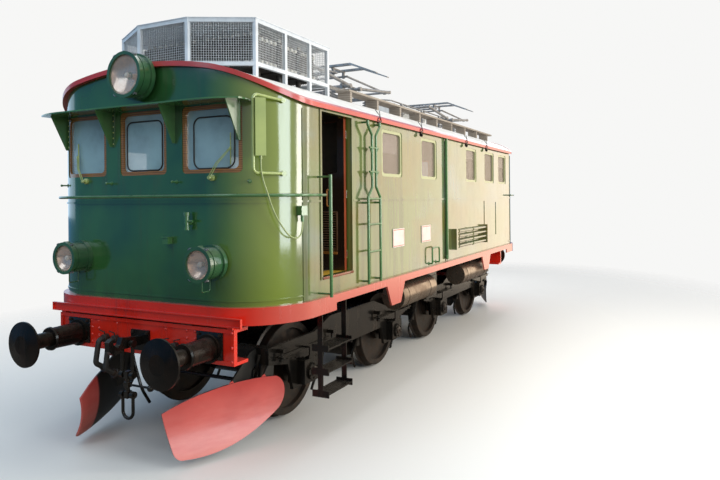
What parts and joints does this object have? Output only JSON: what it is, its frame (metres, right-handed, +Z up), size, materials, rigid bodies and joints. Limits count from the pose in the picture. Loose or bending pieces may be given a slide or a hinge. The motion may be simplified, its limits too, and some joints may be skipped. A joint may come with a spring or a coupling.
{
  "type": "four-axle electric locomotive",
  "caption": "Boxy rounded-end electric locomotive with a cab at each end, swivelling bogies, plough blades, roof resistor cage and folding pantographs.",
  "frame": {"origin": "on the floor under the middle of the vehicle, at the level of the lowest points of the wheel flanges", "axes": "+X to the front end with the lamp cable, +Y to the left side, +Z up"},
  "size_m": [10.2, 3.424, 4.3989],
  "materials": {
    "body_green": "gloss",
    "roof_silver": "satin",
    "red_paint": "gloss",
    "plough_red": "gloss",
    "frame_black": "gloss",
    "wheel_steel": "satin",
    "door_brown": "gloss",
    "window_wood": "gloss",
    "glass": "clear",
    "lamp_glass": "clear",
    "cage_grey": "satin",
    "cage_mesh": "satin",
    "grid_metal": "satin",
    "pantograph_grey": "satin",
    "tank_grey": "gloss",
    "hose_rubber": "matte",
    "cable_sheath": "matte",
    "floor_grey": "satin",
    "cab_green": "satin",
    "walk_grey": "satin"
  },
  "bodies": {
    "carbody": {"underframe": "frame_black", "skirt": "red_paint", "buffer_beams": "red_paint", "buffers": "frame_black", "draw_hooks": "frame_black", "air_hoses": "hose_rubber", "end_wall_front": "body_green", "end_wall_rear": "body_green", "side_wall_left": "body_green", "side_wall_right": "body_green", "roof": "roof_silver", "roof_rim": "red_paint", "cab_floors_and_bulkheads": "floor_grey", "cab_desks_and_seats": "cab_green", "transformer": "cab_green", "window_frames": "window_wood", "window_glass": "glass", "visors": "body_green", "handrails": "body_green", "belt_bead": "body_green", "headlamps": "body_green", "lamp_glasses": "lamp_glass", "corner_boxes": "body_green", "cable_socket": "body_green", "lamp_cable": "cable_sheath", "roof_ladders": "body_green", "entry_steps": "frame_black", "resistor_cage": "cage_grey", "cage_panels": "cage_mesh", "resistor_banks": "grid_metal", "roof_walkways": "walk_grey", "roof_box": "roof_silver", "pantograph_bases": "pantograph_grey", "air_tanks": "tank_grey", "cooler_pipes": "tank_grey"},
    "door_left": {"door_left": "door_brown"},
    "door_right": {"door_right": "door_brown"},
    "bogie_front": {"bogie_frame_front": "frame_black", "axleboxes_front": "frame_black", "plough_front": "plough_red"},
    "bogie_rear": {"bogie_frame_rear": "frame_black", "axleboxes_rear": "frame_black", "plough_rear": "plough_red"},
    "wheelset_1": {"wheelset_1": "wheel_steel"},
    "wheelset_2": {"wheelset_2": "wheel_steel"},
    "wheelset_3": {"wheelset_3": "wheel_steel"},
    "wheelset_4": {"wheelset_4": "wheel_steel"},
    "pantograph_front_lower_a": {"pantograph_front_lower_a": "pantograph_grey"},
    "pantograph_front_lower_b": {"pantograph_front_lower_b": "pantograph_grey"},
    "pantograph_front_upper_a": {"pantograph_front_upper_a": "pantograph_grey"},
    "pantograph_front_upper_b": {"pantograph_front_upper_b": "pantograph_grey"},
    "pantograph_front_head": {"pantograph_front_head": "pantograph_grey"},
    "pantograph_rear_lower_a": {"pantograph_rear_lower_a": "pantograph_grey"},
    "pantograph_rear_lower_b": {"pantograph_rear_lower_b": "pantograph_grey"},
    "pantograph_rear_upper_a": {"pantograph_rear_upper_a": "pantograph_grey"},
    "pantograph_rear_upper_b": {"pantograph_rear_upper_b": "pantograph_grey"},
    "pantograph_rear_head": {"pantograph_rear_head": "pantograph_grey"}
  },
  "joints": [
    {"name": "left_door_hinge", "type": "hinge", "parent": "carbody", "child": "door_left", "pos_m": [2.997, 1.485, 2.498], "axis": [0, 0, 1], "range_deg": [0, 90]},
    {"name": "right_door_hinge", "type": "hinge", "parent": "carbody", "child": "door_right", "pos_m": [-2.997, -1.485, 2.498], "axis": [0, 0, 1], "range_deg": [-90, 0]},
    {"name": "front_bogie_swivel", "type": "hinge", "parent": "carbody", "child": "bogie_front", "pos_m": [2.05, 0, 1.15], "axis": [0, 0, 1], "range_deg": [-4, 4]},
    {"name": "rear_bogie_swivel", "type": "hinge", "parent": "carbody", "child": "bogie_rear", "pos_m": [-2.05, 0, 1.15], "axis": [0, 0, 1], "range_deg": [-4, 4]},
    {"name": "axle_1", "type": "hinge", "parent": "bogie_front", "child": "wheelset_1", "pos_m": [3.15, 0, 0.548], "axis": [0, 1, 0], "continuous": true},
    {"name": "axle_2", "type": "hinge", "parent": "bogie_front", "child": "wheelset_2", "pos_m": [0.95, 0, 0.548], "axis": [0, 1, 0], "continuous": true},
    {"name": "axle_3", "type": "hinge", "parent": "bogie_rear", "child": "wheelset_3", "pos_m": [-0.95, 0, 0.548], "axis": [0, 1, 0], "continuous": true},
    {"name": "axle_4", "type": "hinge", "parent": "bogie_rear", "child": "wheelset_4", "pos_m": [-3.15, 0, 0.548], "axis": [0, 1, 0], "continuous": true},
    {"name": "pantograph_front_raise", "type": "hinge", "parent": "carbody", "child": "pantograph_front_lower_a", "pos_m": [1.2, 0, 4.08], "axis": [0, -1, 0], "range_deg": [0, 54]},
    {"name": "pantograph_front_lower_b_pivot", "type": "hinge", "parent": "carbody", "child": "pantograph_front_lower_b", "pos_m": [0.9, 0, 4.08], "axis": [0, -1, 0], "range_deg": [-54, 0]},
    {"name": "pantograph_front_knee_a", "type": "hinge", "parent": "pantograph_front_lower_a", "child": "pantograph_front_upper_a", "pos_m": [2.19452, 0, 4.18453], "axis": [0, -1, 0], "range_deg": [-108, 0]},
    {"name": "pantograph_front_knee_b", "type": "hinge", "parent": "pantograph_front_lower_b", "child": "pantograph_front_upper_b", "pos_m": [-0.09452, 0, 4.18453], "axis": [0, -1, 0], "range_deg": [0, 108]},
    {"name": "pantograph_front_head_pivot", "type": "hinge", "parent": "pantograph_front_upper_a", "child": "pantograph_front_head", "pos_m": [1.2, 0, 4.28906], "axis": [0, -1, 0], "range_deg": [0, 54]},
    {"name": "pantograph_rear_raise", "type": "hinge", "parent": "carbody", "child": "pantograph_rear_lower_a", "pos_m": [-2.8, 0, 4.08], "axis": [0, -1, 0], "range_deg": [0, 54]},
    {"name": "pantograph_rear_lower_b_pivot", "type": "hinge", "parent": "carbody", "child": "pantograph_rear_lower_b", "pos_m": [-3.1, 0, 4.08], "axis": [0, -1, 0], "range_deg": [-54, 0]},
    {"name": "pantograph_rear_knee_a", "type": "hinge", "parent": "pantograph_rear_lower_a", "child": "pantograph_rear_upper_a", "pos_m": [-1.80548, 0, 4.18453], "axis": [0, -1, 0], "range_deg": [-108, 0]},
    {"name": "pantograph_rear_knee_b", "type": "hinge", "parent": "pantograph_rear_lower_b", "child": "pantograph_rear_upper_b", "pos_m": [-4.09452, 0, 4.18453], "axis": [0, -1, 0], "range_deg": [0, 108]},
    {"name": "pantograph_rear_head_pivot", "type": "hinge", "parent": "pantograph_rear_upper_a", "child": "pantograph_rear_head", "pos_m": [-2.8, 0, 4.28906], "axis": [0, -1, 0], "range_deg": [0, 54]}
  ],
  "couplings": [
    {"joint": "pantograph_front_lower_b_pivot", "follows": "pantograph_front_raise", "ratio": -1},
    {"joint": "pantograph_front_knee_a", "follows": "pantograph_front_raise", "ratio": -2},
    {"joint": "pantograph_front_knee_b", "follows": "pantograph_front_raise", "ratio": 2},
    {"joint": "pantograph_front_head_pivot", "follows": "pantograph_front_raise", "ratio": 1},
    {"joint": "pantograph_rear_lower_b_pivot", "follows": "pantograph_rear_raise", "ratio": -1},
    {"joint": "pantograph_rear_knee_a", "follows": "pantograph_rear_raise", "ratio": -2},
    {"joint": "pantograph_rear_knee_b", "follows": "pantograph_rear_raise", "ratio": 2},
    {"joint": "pantograph_rear_head_pivot", "follows": "pantograph_rear_raise", "ratio": 1}
  ]
}
